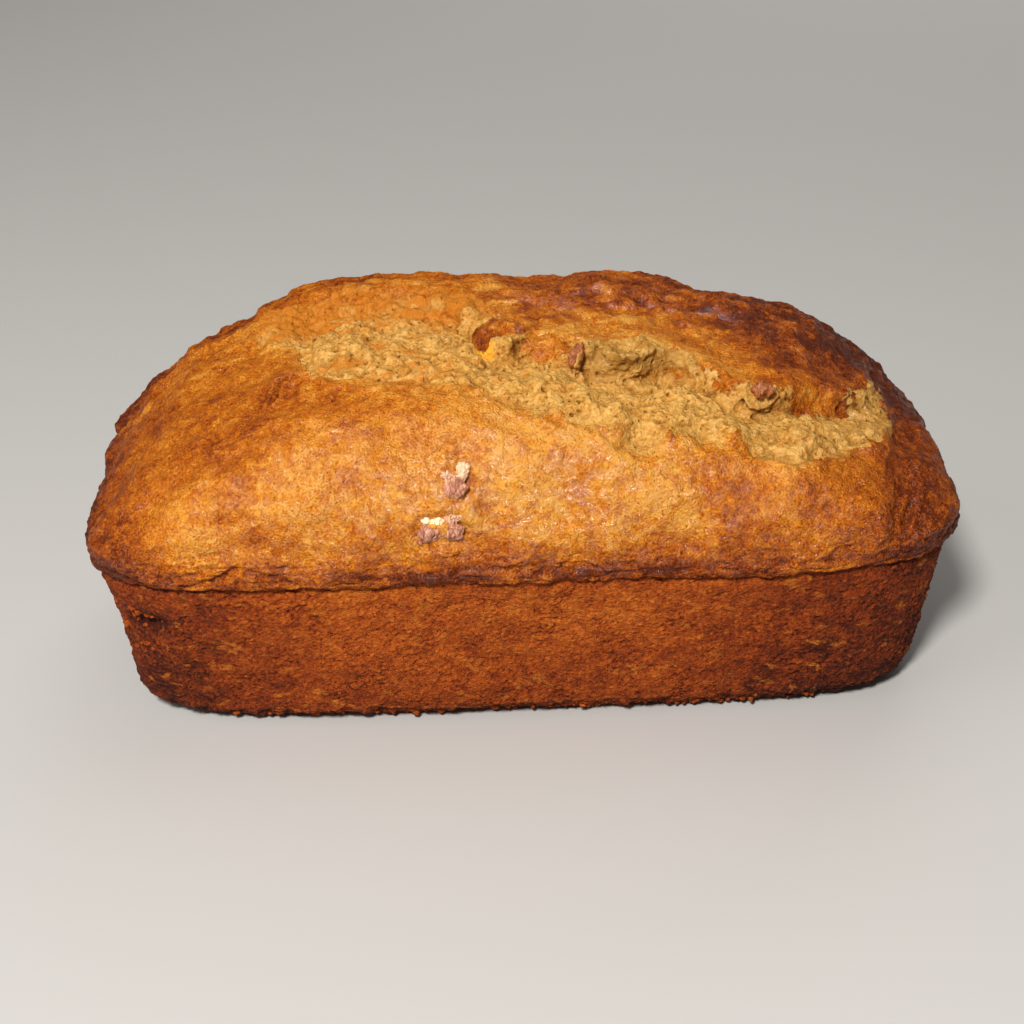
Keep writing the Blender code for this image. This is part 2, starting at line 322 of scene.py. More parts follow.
def clouds(places, size, octaves=2, seed=0):
    """Smooth uneven values round 0, mostly between -1 and 1, with features of this size."""
    rng = np.random.default_rng(seed)
    order = rng.permutation(256)
    slopes = rng.normal(size=(3, 256))
    slopes = (slopes / np.linalg.norm(slopes, axis=0)).astype(np.float32)
    spot = (places / np.array(size)).T.astype(np.float32)
    total, weight = np.zeros(len(places), np.float32), 1.0
    for _ in range(octaves):
        floor = np.floor(spot)
        part = spot - floor
        cell = floor.astype(np.int64)
        ease = part**3 * (part * (part * 6 - 15) + 10)
        for i, j, k in itertools.product((0, 1), repeat=3):
            mixed = order[(order[(order[(cell[0] + i) & 255] + cell[1] + j) & 255] + cell[2] + k) & 255]
            share = (ease[0] if i else 1 - ease[0]) * (ease[1] if j else 1 - ease[1])
            share *= ease[2] if k else 1 - ease[2]
            rise = slopes[0][mixed] * (part[0] - i) + slopes[1][mixed] * (part[1] - j)
            total += weight * share * (rise + slopes[2][mixed] * (part[2] - k))
        weight *= 0.5
        spot = spot * 2.03 + 17.3
    return total.astype(float) * 1.6


def clods(places, size, octaves=2, seed=0):
    """Rounded lumps with sharp valleys between them, from 0 to about 1."""
    return np.abs(clouds(places, size, octaves, seed)) * 1.6


def cracks(places, size, width, seed=0):
    """Thin winding lines, 1 along each line and 0 elsewhere."""
    return np.exp(-(clouds(places, size, 2, seed) / width) ** 2)


def near_route(places, route):
    """Distance in mm from each point to a route of straight runs."""
    nearest = np.full(len(places), 1e9)
    for start, end in zip(route, route[1:]):
        start, run = np.array(start, float), np.subtract(end, start).astype(float)
        share = np.clip((places - start) @ run / (run @ run), 0, 1)
        nearest = np.minimum(nearest, np.linalg.norm(places - start - share[:, None] * run, axis=1))
    return nearest


def field(obj, name, values):
    """Gives a piece a value for each point, which its material reads."""
    layer = obj.data.attributes.get(name) or obj.data.attributes.new(name, "FLOAT", "POINT")
    layer.data.foreach_set("value", np.asarray(values, np.float32))


def remesh(obj, voxel):
    only(obj)
    obj.data.remesh_voxel_size = voxel
    obj.data.use_remesh_fix_poles = False
    bpy.ops.object.voxel_remesh()


# Where the crust is torn

def curve_through(knots, x):
    """Values at x of the smooth curve through the knots, pairs (x, value) in rising order of x."""
    xs, ys = np.array(knots).T
    slopes = np.gradient(ys, xs)
    slopes[1:-1] = (ys[2:] - ys[:-2]) / (xs[2:] - xs[:-2])
    i = np.clip(np.searchsorted(xs, x) - 1, 0, len(xs) - 2)
    width = xs[i + 1] - xs[i]
    t = (x - xs[i]) / width
    start = (2 * t**3 - 3 * t**2 + 1) * ys[i] + (t**3 - 2 * t**2 + t) * width * slopes[i]
    return start + (3 * t**2 - 2 * t**3) * ys[i + 1] + (t**3 - t**2) * width * slopes[i + 1]


def plan_pull(u, v):
    reach = np.maximum(np.maximum(np.abs(u), np.abs(v)), 1e-9)
    corner = (np.abs(u / reach) ** CORNER_POWER + np.abs(v / reach) ** CORNER_POWER) ** (-1 / CORNER_POWER)
    return 1 - reach**CORNER_EASE * (1 - corner)


def torn_edge(which):
    """Plan points in mm along the split's front edge (which is 1) or back edge (2)."""
    x = np.linspace(-0.98, 0.98, SPLIT_STEPS) * LIP_HALF_LENGTH
    knots = [(knot[0] * MM, knot[which] * MM) for knot in SPLIT_EDGES]
    size, height = TEAR_RAGGED
    seed = Vector((20 * which,) * 3)
    ragged = [height * noise.noise(Vector((at / size, 0, 0)) + seed) for at in x]
    y = curve_through(knots, x) + ragged
    pull = plan_pull(x / LIP_HALF_LENGTH, y / LIP_HALF_WIDTH)
    return x * pull / MM, y * pull / MM


front_edge, back_edge = torn_edge(1), torn_edge(2)


class Split:
    """Where points lie against the torn edges, in mm."""

    def __init__(self, mm):
        drift = 1.8 * clouds(mm, 7, 3, 11), 1.5 * clouds(mm, 5, 3, 12)
        self.x = mm[:, 0] + drift[0]
        y = mm[:, 1] + drift[1]
        self.behind = y - np.interp(self.x, *np.array(FRONT_TEAR).T)
        self.sunk = ramp(y - np.interp(self.x, *front_edge), 0, 1.5)
        self.before = np.interp(self.x, *np.array(BACK_TEAR).T) - y
        self.wall = np.interp(self.x, *back_edge) - y
        self.opening = ramp(self.x, *SPLIT_LEFT) * (1 - ramp(self.x, *SPLIT_RIGHT))
        self.on_top = ramp(mm[:, 2], 53, 60)
        self.front_sharp = np.interp(self.x, *np.array(FRONT_SHARPNESS).T)
        self.back_sharp = np.interp(self.x, *np.array(BACK_SHARPNESS).T)
        self.tongue = np.exp(-(near_route(mm * (1, 1, 0), np.multiply(TONGUE, (1, 1, 0))) / 4.8) ** 4)

    def crumb(self):
        """1 where the crumb shows, 0 on the crust. The change is gradual where an edge isn't sharp."""
        front_soft = 0.5 + 5.0 * (1 - self.front_sharp)
        back_soft = 0.8 + 8.0 * (1 - self.back_sharp)
        front = ramp(self.behind, -0.7 * front_soft, front_soft)
        back = ramp(self.before, -0.5 * back_soft, back_soft)
        return front * back * ramp(self.opening, 0.05, 0.4) * self.on_top * (1 - ramp(self.tongue, 0.35, 0.6))


# The loaf's skin

def copy_of_nodes(name, nodes):
    """One new piece from copies of CAD nodes, with their loose triangles merged."""
    copies = []
    for node in nodes:
        copied = bpy.data.objects.new(node + "_copy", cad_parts[node].data.copy())
        bpy.context.scene.collection.objects.link(copied)
        copies.append(copied)
    only(*copies)
    if len(copies) > 1:
        bpy.ops.object.join()
    made = bpy.context.view_layer.objects.active
    made.name = made.data.name = name
    made.data.materials.clear()
    edit(made, lambda: bpy.ops.mesh.remove_doubles(threshold=0.01 * MM))
    return made


def smoothed(obj, rounds):
    """Where the points would lie if the surface round them were smooth."""
    smooth = obj.copy()
    smooth.data = obj.data.copy()
    bpy.context.scene.collection.objects.link(smooth)
    modify(smooth, "SMOOTH", factor=0.5, iterations=rounds)
    places, ways = points(smooth), normals(smooth)
    bpy.data.objects.remove(smooth)
    return places, ways


def rim_band(mm):
    """1 along the rim line, falling to 0 a few mm above and below it."""
    return np.exp(-((mm[:, 2] - RIM) / 5) ** 4)


def soften(loaf):
    """Rounds the rim, the left part of the tear and its back wall, which are soft in the real loaf."""
    mm = points(loaf) / MM
    split = Split(mm)
    soft = 0.85 * rim_band(mm)
    on_top = ramp(mm[:, 2], 58, 66) * (np.abs(mm[:, 1]) < 48)
    soft = np.maximum(soft, on_top * 0.85 * ramp(-mm[:, 0], 8, 22))
    soft = np.maximum(soft, on_top * 0.70 * np.exp(-(split.wall / 6) ** 2) * ramp(mm[:, 0], -8, 4))
    softer = on_top * 0.9 * np.exp(-(split.wall / 9) ** 4) * ramp(mm[:, 0], 42, 52)
    softer = np.maximum(softer, 0.85 * on_top * bump(mm, (-12, -1, 90), (7, 9, 8)))
    softer = np.maximum(softer, 0.9 * on_top * bump(mm, (-58, 0, 87), (7, 14, 8)))
    for share, rounds in ((soft, 45), (softer, 130)):
        places, _ = smoothed(loaf, rounds)
        old = points(loaf)
        set_points(loaf, old + (places - old) * share[:, None])


def rough_form():
    """The loaf with its walnut pockets filled, its facets smoothed, and its tear, folds and lumps uneven."""
    loaf = copy_of_nodes("loaf_skin", WALNUTS + ("loaf",))
    remesh(loaf, COARSE_VOXEL)
    modify(loaf, "SMOOTH", factor=0.5, iterations=7)
    soften(loaf)
    mm = points(loaf) / MM
    split = Split(mm)
    crumb = split.crumb()
    top = ramp(mm[:, 2], 46, 54)
    crust = (1 - crumb) * top
    shown = split.opening * split.on_top
    front_curl = np.exp(-np.abs(split.behind + 1.0) / 2.0) * split.front_sharp
    back_curl = np.exp(-np.abs(np.minimum(split.before + 1.2, 0)) / 5.0) * (split.before < 1)
    back_curl = back_curl * split.back_sharp
    height = crust * (CRUST_SWELL * clouds(mm, (17, 15, 13), 2, 1) + CRUST_RIPPLE * clouds(mm, 6, 2, 2))
    height += RIM_SWELL * rim_band(mm)
    height += crumb * ramp(-mm[:, 0], -5, 15) * LEFT_CRUMB_CLODS * clods(mm, (6, 4.5, 4), 2, 10)
    height += crust * shown * (FRONT_CURL * front_curl * (0.6 + clouds(mm, 6, 2, 3)))
    height += crust * shown * (BACK_CURL * back_curl * (0.7 + 0.9 * clouds(mm, 8, 2, 4)))
    height += crumb * (CRUMB_CLODS * clods(mm, (9, 7, 8), 2, 5) - 0.7 + CRUMB_RIPPLE * clouds(mm, 3.6, 2, 7))
    tongue = np.exp(-(near_route(mm, TONGUE) / 4) ** 4)
    height += TONGUE_RISE * tongue * (0.7 + clouds(mm, 4, 2, 8))
    back = ramp(mm[:, 1], 0, 22) * crust
    height += back * (BACK_CLODS * clods(mm, (22, 9, 10), 2, 6) - 0.4 + BACK_RIPPLE * clouds(mm, 4, 2, 9))
    for middle, radii, rise in SPOTS:
        height += rise * bump(mm, middle, radii)
    for route, half_width, depth in CREASES:
        near = near_route(mm, route)
        height += depth * (0.45 * np.exp(-((near - 2.2 * half_width) / half_width) ** 2)
                           - np.exp(-(near / half_width) ** 2))
    height += rim_relief(mm)
    for node in WALNUTS:
        low, high = (np.array(corner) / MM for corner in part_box(node))
        height += seat(mm, (low + high) / 2, (high - low) / 2)
    push(loaf, height)
    upwards = np.tile((0.0, 0.0, 1.0), (len(mm), 1))
    step = split.sunk * (1 - ramp(split.behind, -1, 1)) * split.front_sharp
    push(loaf, crust * shown * STEP_FILL * step, upwards)
    return loaf


def seat(mm, middle, half):
    """A dent with a raised brim, which holds a walnut piece of this half size."""
    away = np.linalg.norm((mm - middle) / half, axis=1)
    return SEAT_BRIM * np.exp(-((away - 1.45) / 0.35) ** 2) - SEAT_DENT * np.exp(-(away / 1.05) ** 4)


def rim_height(mm):
    """Height in mm of the line where the top crust ends and the tin side begins."""
    return RIM_HEIGHT / MM + 0.9 * clouds(mm * (1, 1, 0), 16, 3, 21)


def rim_relief(mm):
    """A thin uneven ledge of crust above a dark groove, where the dough met the tin's rim."""
    above = mm[:, 2] - rim_height(mm)
    ledge = np.exp(-((above - 2.4) / 1.5) ** 2) * (0.45 + 0.75 * clouds(mm * (1, 1, 0.3), 11, 2, 22))
    groove = np.exp(-(above / 0.9) ** 2) * (0.75 + 0.6 * clouds(mm, 9, 2, 23))
    return ledge - groove


def fine_form(loaf):
    """Grain of crust, crumb and tin side in the mesh itself."""
    remesh(loaf, FINE_VOXEL)
    mm = points(loaf) / MM
    crumb = Split(mm).crumb()
    above = mm[:, 2] - rim_height(mm)
    top = ramp(above, -0.6, 0.6)
    side = (1 - top) * ramp(mm[:, 2], 0.3, 2.0)
    crust = top * (1 - crumb)
    near_rim = crust * (1 - ramp(above, 5, 16))
    pores = ramp(clouds(mm, 1.5, 1, 32), 0.35, 0.7)
    height = crust * (CRUST_GRAIN * clouds(mm, 2.6, 3, 31) - CRUST_PORES * pores)
    wrinkles, fissures = clouds(mm, (7, 7, 1.8), 3, 33), cracks(mm, (15, 15, 3.4), 0.07, 34)
    height += near_rim * (RIM_WRINKLES * wrinkles - RIM_CRACKS * fissures)
    height += crumb * (CRUMB_GRAIN * clods(mm, 2.4, 2, 35) - 0.14 + CRUMB_FUZZ * clouds(mm, 1.3, 2, 42))
    height -= crumb * CRUMB_HOLES * ramp(clouds(mm, 2.6, 1, 36), 0.45, 0.8)
    coarse, fine = clouds(mm, (4.5, 4.5, 3.6), 3, 37), clods(mm, (1.8, 1.8, 1.6), 2, 38)
    height += side * (SIDE_GRAIN * coarse + SIDE_CLODS * fine - 0.2)
    cracked = ramp(clouds(mm, 9, 1, 40), -0.2, 0.3)
    height -= side * SIDE_CRACKS * cracks(mm, (4, 4, 2.6), 0.10, 39) * cracked
    height += (1 - ramp(mm[:, 2], 3, 7)) * side * FOOT_LUMPS * clouds(mm, 3.2, 2, 41)
    push(loaf, height)


def fit_in_box(obj, low, high):
    """Draws a piece in, so that it stays within a box and stands on the box's floor."""
    places = points(obj)
    own_low, own_high = places.min(axis=0), places.max(axis=0)
    middle = (np.array(low) + np.array(high)) / 2
    middle[2] = low[2]
    places[:, 2] = np.maximum(places[:, 2], low[2])
    for axis in range(3):
        reach = max(own_high[axis] - middle[axis], (middle[axis] - own_low[axis]) if axis < 2 else 0)
        room = high[axis] - middle[axis]
        if reach > room:
            places[:, axis] = middle[axis] + (places[:, axis] - middle[axis]) * room / reach
    set_points(obj, places)


def hollows(obj, rounds):
    """How far each point lies below the smoothed surface round it, in mm."""
    places, ways = smoothed(obj, rounds)
    return ((places - points(obj)) * ways).sum(axis=1) / MM


def browning_and_painted_light(mm, split):
    """How dark the crust is coloured, from 0 on the palest gold to 1 on the darkest brown. Mostly its baked
    colour, with painted light paling the front face and painted shade darkening both ends and the right side.
    """
    x, y, z = mm.T
    baked = 0.26 + 0.30 * (1 - ramp(z, 48, 60))
    # Paler on the front face: partly its own colour, partly a painted pool of the key light.
    baked -= 0.18 * bump(mm, (-4, -54, 76), (50, 18, 14))
    baked += 0.27 * bump(mm, (-72, -20, 80), (24, 30, 20))
    crown = 1 - 0.5 * ramp(y, 38, 56)
    baked += crown * 0.46 * ramp(y, -12, 20) * ramp(x, -30, 8)
    baked += crown * 0.44 * ramp(y, 20, 36) * ramp(-x, 10, 40)
    baked += 0.34 * bump(mm, (80, 6, 78), (24, 26, 16))
    # Darker at both ends and on the right: partly its baked colour, partly painted shade where the light
    # falls off.
    baked += 0.30 * ramp(x, 80, 106) + 0.34 * ramp(-x, 84, 108)
    baked += 0.20 * ramp(x, 28, 66) * ramp(z, 48, 60)
    thin = split.opening * split.on_top * np.exp(np.minimum(split.behind, 0) / 7) * (1 - split.front_sharp)
    baked -= 0.30 * thin * (0.6 + clouds(mm, 9, 2, 51))
    baked -= 0.30 * bump(mm, (11, -6, 93), (6, 6, 5))
    baked += 0.24 * np.exp(-(near_route(mm, TONGUE) / 5) ** 4) * (1 + 1.2 * clouds(mm, 4, 2, 53))
    baked -= 0.32 * ramp(y, -8, 6) * (1 - ramp(y, 34, 46)) * ramp(clouds(mm, (11, 6, 6), 2, 54), 0.2, 0.7)
    baked += 0.4 * bump(mm, RED_NUB, (1.6, 1.6, 4))
    baked += bump(z, 47.5, 3.0) * (0.16 + 0.3 * clouds(mm, (14, 14, 4), 2, 52))
    return np.clip(baked, 0, 1)


def toasting(mm, split):
    """How golden the bare crumb has toasted, from 0 in the shade of the tear to 1 high up at the back."""
    x, y, _ = mm.T
    left = 1 - ramp(x, -22, -2)
    toast = left * (0.16 + 0.85 * ramp(y + 6 * clouds(mm, 7, 3, 61), -2, 34))
    toast += 0.8 * bump(mm, (-12, 12, 92), (8, 9, 6))
    toast += 0.7 * bump(mm, (-64, 20, 86), (9, 16, 8))
    toast += 0.35 * left * bump(mm, (-22, -22, 90), (20, 8, 6))
    return np.clip(toast, 0, 1)


def close_to_core(obj):
    """Closes a piece of skin with walls that run from its borders to one point deep inside the loaf."""
    bpy.context.scene.cursor.location = CORE
    only(obj)
    bpy.ops.object.mode_set(mode="EDIT")
    bpy.ops.mesh.select_mode(type="EDGE")
    bpy.ops.mesh.select_all(action="DESELECT")
    bpy.ops.mesh.select_non_manifold(extend=False, use_wire=False, use_boundary=True, use_multi_face=False,
                                     use_non_contiguous=False, use_verts=False)
    bpy.ops.mesh.extrude_edges_move()
    bpy.ops.mesh.merge(type="CURSOR")
    bpy.ops.mesh.select_mode(type="VERT")
    bpy.ops.object.mode_set(mode="OBJECT")
    bpy.context.scene.cursor.location = (0, 0, 0)


def take_faces(obj, name, part):
    """Separates the faces of one part from the skin, as a new piece."""
    marks = np.empty(len(obj.data.polygons), np.int32)
    obj.data.attributes["part"].data.foreach_get("value", marks)
    edit(
        obj,
        lambda: bpy.ops.mesh.select_mode(type="FACE"),
        lambda: bpy.ops.mesh.select_all(action="DESELECT"),
    )
    obj.data.polygons.foreach_set("select", marks == part)
    bpy.ops.object.mode_set(mode="EDIT")
    bpy.ops.mesh.separate(type="SELECTED")
    bpy.ops.object.mode_set(mode="OBJECT")
    piece = next(other for other in bpy.context.selected_objects if other is not obj)
    piece.name = piece.data.name = name
    return piece


def cut_skin(loaf):
    """Cuts the skin into closed pieces, beside the torn edges and along the rim, with no seam in sight."""
    centres = np.empty(len(loaf.data.polygons) * 3, np.float32)
    loaf.data.polygons.foreach_get("center", centres)
    mm = centres.reshape(-1, 3).astype(float) / MM
    split = Split(mm)
    crumb = (split.behind > -1.5) & (split.before > -5) & (split.opening > 0.05) & (mm[:, 2] > 60)
    base = mm[:, 2] < 2.0
    side = (mm[:, 2] < rim_height(mm)) & ~base
    x = mm[:, 0]
    names = (
        "crumb_bed",
        "crust_left",
        "crust_middle",
        "crust_right",
        "tin_side_left",
        "tin_side_right",
        "underside",
    )
    part = np.select([base, side & (x < -4), side, crumb, x < -34, x < 38], [6, 4, 5, 0, 1, 2], 3)
    loaf.data.attributes.new("part", "INT", "FACE").data.foreach_set("value", part.astype(np.int32))
    loaf.data.shade_smooth()
    ways = normals(loaf)
    for axis, key in enumerate("uvw"):
        field(loaf, key, ways[:, axis])
    pieces = [take_faces(loaf, name, index) for index, name in enumerate(names[:-1])]
    loaf.name = loaf.data.name = names[-1]
    pieces.append(loaf)
    for piece in pieces:
        close_to_core(piece)
        ways = np.empty((3, len(piece.data.vertices)), np.float32)
        for axis, key in enumerate("uvw"):
            piece.data.attributes[key].data.foreach_get("value", ways[axis])
        if piece is loaf:
            modify(piece, "DECIMATE", ratio=0.25)
            piece.data.shade_smooth()
        else:
            piece.data.normals_split_custom_set_from_vertices(ways.T.tolist())
        for key in ("u", "v", "w", "part"):
            if key in piece.data.attributes:
                piece.data.attributes.remove(piece.data.attributes[key])
    return pieces


# Materials

def put(tree, kind, inputs=None, **settings):
    """Adds a node. Each input is given a value, or is joined to another node's output."""
    made = tree.nodes.new(kind)
    for name, value in settings.items():
        setattr(made, name, value)
    for key, value in (inputs or {}).items():
        if isinstance(value, bpy.types.NodeSocket):
            tree.links.new(value, made.inputs[key])
        else:
            made.inputs[key].default_value = value
    return made


def calc(tree, operation, first, second=0.0, clamp=False):
    return put(tree, "ShaderNodeMath", {0: first, 1: second}, operation=operation, use_clamp=clamp).outputs[0]


def add(tree, *values):
    """The sum of several values, held between 0 and 1."""
    total = values[0]
    for value in values[1:]:
        total = calc(tree, "ADD", total, value)
    return calc(tree, "ADD", total, 0.0, clamp=True)


def spread(tree, value, low, high, to_low=0.0, to_high=1.0):
    """Maps a value from one range to another, and holds it there."""
    limits = {"Value": value, "From Min": low, "From Max": high, "To Min": to_low, "To Max": to_high}
    return put(tree, "ShaderNodeMapRange", limits).outputs["Result"]


def uneven(tree, value, low, high):
    """Maps the usual range of a noise to another range."""
    return spread(tree, value, 0.3, 0.7, low, high)


def blend(tree, share, first, second, mode="MIX"):
    made = put(tree, "ShaderNodeMix", data_type="RGBA", blend_type=mode)
    for index, value in ((0, share), (6, first), (7, second)):
        if isinstance(value, bpy.types.NodeSocket):
            tree.links.new(value, made.inputs[index])
        else:
            made.inputs[index].default_value = value if index == 0 else (*value, 1)
    return made.outputs[2]


def cloud(tree, places, size, detail=2.0, roughness=0.5, warp=0.0):
    return put(tree, "ShaderNodeTexNoise", {"Vector": places, "Scale": 1 / size, "Detail": detail,
                                            "Roughness": roughness, "Distortion": warp}).outputs["Fac"]


def stretched(tree, places, scale):
    return put(tree, "ShaderNodeMapping", {"Vector": places, "Scale": scale}).outputs["Vector"]


def colour_steps(tree, share, steps):
    """A colour that runs through the steps, pairs (share, colour)."""
    made = put(tree, "ShaderNodeValToRGB", {"Fac": share})
    stops = made.color_ramp.elements
    while len(stops) < len(steps):
        stops.new(0.5)
    for stop, (at, colour) in zip(stops, steps):
        stop.position = at
        stop.color = (*colour, 1)
    return made.outputs["Color"]


def attribute(tree, name):
    return put(tree, "ShaderNodeAttribute", attribute_name=name).outputs["Fac"]


def new_material(name):
    material = bpy.data.materials.new(name)
    material.use_nodes = True
    tree = material.node_tree
    return material, tree, tree.nodes["Principled BSDF"]


def new_group(name, inputs, outputs):
    group = bpy.data.node_groups.new(name, "ShaderNodeTree")
    for label, value in inputs:
        kind = "NodeSocketVector" if value is None else "NodeSocketFloat"
        made = group.interface.new_socket(name=label, in_out="INPUT", socket_type=kind)
        if value is not None:
            made.default_value = value
    for label in outputs:
        group.interface.new_socket(name=label, in_out="OUTPUT", socket_type="NodeSocketFloat")
    return group, group.nodes.new("NodeGroupInput").outputs, group.nodes.new("NodeGroupOutput").inputs


def pits_group():
    """Small pits of uneven size, and the fine grain between them."""
    inputs = (("Place", None), ("Pit size", 2 * MM), ("Grain size", MM), ("Pit share", 0.4))
    group, given, result = new_group("pits_and_grain", inputs, ("Pits", "Grain"))
    place = given["Place"]
    wobble = put(group, "ShaderNodeTexNoise", {"Vector": place, "Scale": 1 / (1.3 * MM), "Detail": 1.0})
    moved = put(group, "ShaderNodeVectorMath", {0: wobble.outputs["Color"], 1: (0.9 * MM,) * 3},
                operation="MULTIPLY").outputs[0]
    moved = put(group, "ShaderNodeVectorMath", {0: moved, 1: place}, operation="ADD").outputs[0]
    pit_scale = calc(group, "DIVIDE", 1.0, given["Pit size"])
    voronoi = put(group, "ShaderNodeTexVoronoi", {"Vector": moved, "Scale": pit_scale})
    split = put(group, "ShaderNodeSeparateColor", {"Color": voronoi.outputs["Color"]})
    radius = calc(group, "MULTIPLY", split.outputs["Red"], given["Pit share"])
    pit = spread(group, calc(group, "SUBTRACT", radius, voronoi.outputs["Distance"]), 0.0, 0.14)
    grain_scale = calc(group, "DIVIDE", 1.0, given["Grain size"])
    grain = put(group, "ShaderNodeTexNoise", {"Vector": place, "Scale": grain_scale, "Detail": 3.0,
                                              "Roughness": 0.65}).outputs["Fac"]
    group.links.new(pit, result["Pits"])
    group.links.new(grain, result["Grain"])
    return group


PITS = pits_group()


def pits(tree, place, pit_size, grain_size, share):
    made = put(tree, "ShaderNodeGroup", {}, node_tree=PITS)
    tree.links.new(place, made.inputs["Place"])
    made.inputs["Pit size"].default_value = pit_size
    made.inputs["Grain size"].default_value = grain_size
    made.inputs["Pit share"].default_value = share
    return made.outputs["Pits"], made.outputs["Grain"]


PALE_GOLD = (0.80, 0.36, 0.055)
GOLD = (0.66, 0.215, 0.012)
ORANGE = (0.46, 0.104, 0.004)
RED_BROWN = (0.25, 0.042, 0.004)
DARK_BROWN = (0.090, 0.015, 0.003)
PALE_CRUMB = (0.77, 0.44, 0.125)
TAN_CRUMB = (0.58, 0.28, 0.050)
# The two darkest crumb colours are painted shade for hollows and holes.
DEEP_CRUMB_SHADE = (0.26, 0.095, 0.016)
HOLE_CRUMB_SHADE = (0.09, 0.030, 0.007)
TOASTED_CRUMB = (0.58, 0.185, 0.015)
WET_AND_SHADED_CRUMB = (0.38, 0.185, 0.030)
LEMON_CRUMB = (0.86, 0.40, 0.035)


def crust_and_crumb():
    """Glossy baked crust, which gives way to damp crumb where it is torn; painted shade darkens its hollows,
    pits and holes.
    """
    material, tree, shader = new_material("crust_and_crumb")
    place = put(tree, "ShaderNodeTexCoord").outputs["Object"]
    baked, torn, hollow_and_shade = (attribute(tree, name) for name in ("baked", "torn", "hollow_and_shade"))
    toast, wet_and_shade, glaze, lemon = (attribute(tree, name) for name in ("toast", "wet_and_shade", "glaze", "lemon"))
    broad = cloud(tree, place, 15 * MM, 3)
    patches = cloud(tree, place, 4.2 * MM, 4, 0.6, 0.6)
    flecks = cloud(tree, place, 1.5 * MM, 4, 0.65, 0.3)
    dots, grain = pits(tree, place, 1.0 * MM, 0.52 * MM, 0.26)
    # Painted shade and light in the crust's tone: darker in hollows and pits, lighter on ridges, over its
    # baked colour and random grain.
    tone = add(tree, baked, uneven(tree, broad, -0.17, 0.17), uneven(tree, patches, -0.19, 0.19),
               uneven(tree, flecks, -0.15, 0.15), spread(tree, grain, 0.34, 0.66, -0.24, 0.24),
               spread(tree, hollow_and_shade, -0.2, 0.3, -0.08, 0.22), calc(tree, "MULTIPLY", dots, 0.30))
    crust = colour_steps(tree, tone, ((0.0, PALE_GOLD), (0.22, GOLD), (0.5, ORANGE), (0.76, RED_BROWN),
                                      (1.0, DARK_BROWN)))

    holes, crumb_grain = pits(tree, place, 1.7 * MM, 0.7 * MM, 0.36)
    lumps = cloud(tree, place, 5 * MM, 4, 0.6, 0.5)
    # Painted shade in the crumb: darker in hollows and holes, over random lumps and grain.
    shade = add(tree, uneven(tree, lumps, -0.08, 0.38), spread(tree, hollow_and_shade, -0.25, 0.6, -0.14, 0.66),
                uneven(tree, crumb_grain, -0.22, 0.22), calc(tree, "MULTIPLY", holes, 0.34))
    crumb = colour_steps(tree, shade, ((0.0, PALE_CRUMB), (0.34, TAN_CRUMB), (0.72, DEEP_CRUMB_SHADE),
                                       (1.0, HOLE_CRUMB_SHADE)))
    smears = cloud(tree, stretched(tree, place, (0.5, 1, 1)), 5 * MM, 3, 0.55, 0.6)
    toasted = add(tree, toast, uneven(tree, patches, -0.42, 0.34),
                  spread(tree, smears, 0.5, 0.64, 0.0, 0.45), spread(tree, hollow_and_shade, -0.3, 0.3, 0.2, -0.25))
    crumb = blend(tree, spread(tree, toasted, 0.25, 0.85), crumb, TOASTED_CRUMB)
    # Olive damp crumb colour, partly painted shade under the back crust and towards the right end.
    wet_and_shade_share = calc(tree, "MULTIPLY", wet_and_shade, spread(tree, lumps, 0.3, 0.6, 0.4, 1.0))
    crumb = blend(tree, wet_and_shade_share, crumb, WET_AND_SHADED_CRUMB)
    crumb = blend(tree, lemon, crumb, LEMON_CRUMB)

    ragged = cloud(tree, place, 2.4 * MM, 5, 0.65, 0.6)
    edge = calc(tree, "ADD", torn, uneven(tree, ragged, -0.42, 0.42))
    is_crumb = spread(tree, edge, 0.38, 0.62)
    tree.links.new(blend(tree, is_crumb, crust, crumb), shader.inputs["Base Color"])

    gloss = cloud(tree, place, 2.4 * MM, 4, 0.65)
    crust_rough = calc(tree, "SUBTRACT", spread(tree, gloss, 0.35, 0.65, 0.46, 0.70),
                       calc(tree, "MULTIPLY", glaze, 0.14))
    crumb_rough = calc(tree, "SUBTRACT", 0.72, calc(tree, "MULTIPLY", wet_and_shade, 0.34))
    rough = put(tree, "ShaderNodeMix", {0: is_crumb, 2: crust_rough, 3: crumb_rough}).outputs[0]
    tree.links.new(rough, shader.inputs["Roughness"])
    crust_coat = calc(tree, "MULTIPLY", glaze, spread(tree, gloss, 0.41, 0.58, 1.0, 0.04))
    crumb_coat = calc(tree, "MULTIPLY", wet_and_shade, 0.35)
    coat = put(tree, "ShaderNodeMix", {0: is_crumb, 2: crust_coat, 3: crumb_coat}).outputs[0]
    tree.links.new(coat, shader.inputs["Coat Weight"])
    shader.inputs["Coat Roughness"].default_value = 0.15
    shader.inputs["Coat IOR"].default_value = 1.9
    shader.inputs["IOR"].default_value = 1.2

    crust_height = add(tree, calc(tree, "MULTIPLY", grain, 0.55), calc(tree, "MULTIPLY", flecks, 0.6),
                       calc(tree, "MULTIPLY", dots, -0.3))
    crumb_height = add(tree, calc(tree, "MULTIPLY", crumb_grain, 0.50), calc(tree, "MULTIPLY", holes, -0.3),
                       calc(tree, "MULTIPLY", flecks, 0.3))
    height = put(tree, "ShaderNodeMix", {0: is_crumb, 2: crust_height, 3: crumb_height}).outputs[0]
    bumped = put(tree, "ShaderNodeBump", {"Strength": 1.0, "Distance": 1.6 * MM, "Height": height})
    tree.links.new(bumped.outputs["Normal"], shader.inputs["Normal"])
    glazed = put(tree, "ShaderNodeBump", {"Strength": 0.9, "Distance": 0.7 * MM, "Height": height})
    tree.links.new(glazed.outputs["Normal"], shader.inputs["Coat Normal"])
    return material


SIDE_FLECK = (0.64, 0.185, 0.020)
SIDE_ORANGE = (0.46, 0.094, 0.009)
SIDE_BROWN = (0.26, 0.040, 0.005)
SIDE_DARK = (0.060, 0.010, 0.004)


